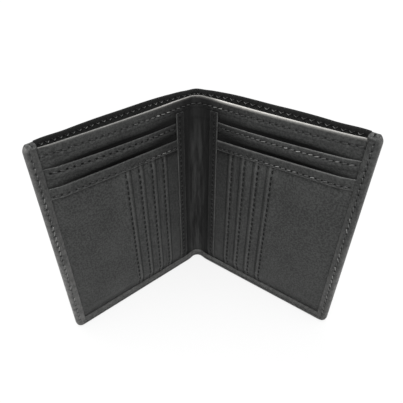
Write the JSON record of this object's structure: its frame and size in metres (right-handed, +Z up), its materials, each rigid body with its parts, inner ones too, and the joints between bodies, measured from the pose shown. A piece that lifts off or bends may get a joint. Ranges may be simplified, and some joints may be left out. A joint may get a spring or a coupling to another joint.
{
  "type": "two-fold wallet",
  "caption": "Tall two-fold leather wallet standing open, with lying and upright card pockets, a note compartment behind them and a turned leather border.",
  "frame": {"origin": "on the surface that the wallet stands on, under the middle of its width and depth as it stands open", "axes": "+Z up along the spine, +X to the right and the halves opening towards -Y, so the spine is at the +Y side"},
  "size_m": [0.1596, 0.071, 0.1264],
  "materials": {
    "outer_leather": "fine-grained black leather, soft satin",
    "pocket_leather": "thin fine-grained black leather, soft satin",
    "gusset_leather": "thin soft black leather, creased upright",
    "lining_cloth": "plain black lining cloth"
  },
  "bodies": {
    "spine": {"spine_shell": "outer_leather", "spine_lining": "lining_cloth", "spine_gusset": "gusset_leather"},
    "left_half": {"left_shell": "outer_leather", "left_bill_lining": "lining_cloth", "left_inner_panel": "pocket_leather", "left_upper_card_pocket": "pocket_leather", "left_lower_card_pocket": "pocket_leather", "left_card_band": "pocket_leather", "left_inner_upright_pocket": "pocket_leather", "left_second_upright_pocket": "pocket_leather", "left_third_upright_pocket": "pocket_leather", "left_front_upright_pocket": "pocket_leather", "left_spine_strip": "pocket_leather"},
    "right_half": {"right_shell": "outer_leather", "right_bill_lining": "lining_cloth", "right_inner_panel": "pocket_leather", "right_upper_card_pocket": "pocket_leather", "right_lower_card_pocket": "pocket_leather", "right_card_band": "pocket_leather", "right_inner_upright_pocket": "pocket_leather", "right_second_upright_pocket": "pocket_leather", "right_third_upright_pocket": "pocket_leather", "right_front_upright_pocket": "pocket_leather", "right_spine_strip": "pocket_leather"}
  },
  "joints": [
    {"name": "left_fold", "type": "hinge", "parent": "spine", "child": "left_half", "pos_m": [-0.00585, 0.03037, 0.063], "axis": [0, 0, 1], "range_deg": [-40, 50]},
    {"name": "right_fold", "type": "hinge", "parent": "spine", "child": "right_half", "pos_m": [0.00585, 0.03037, 0.063], "axis": [0, 0, -1], "range_deg": [-40, 50]}
  ]
}
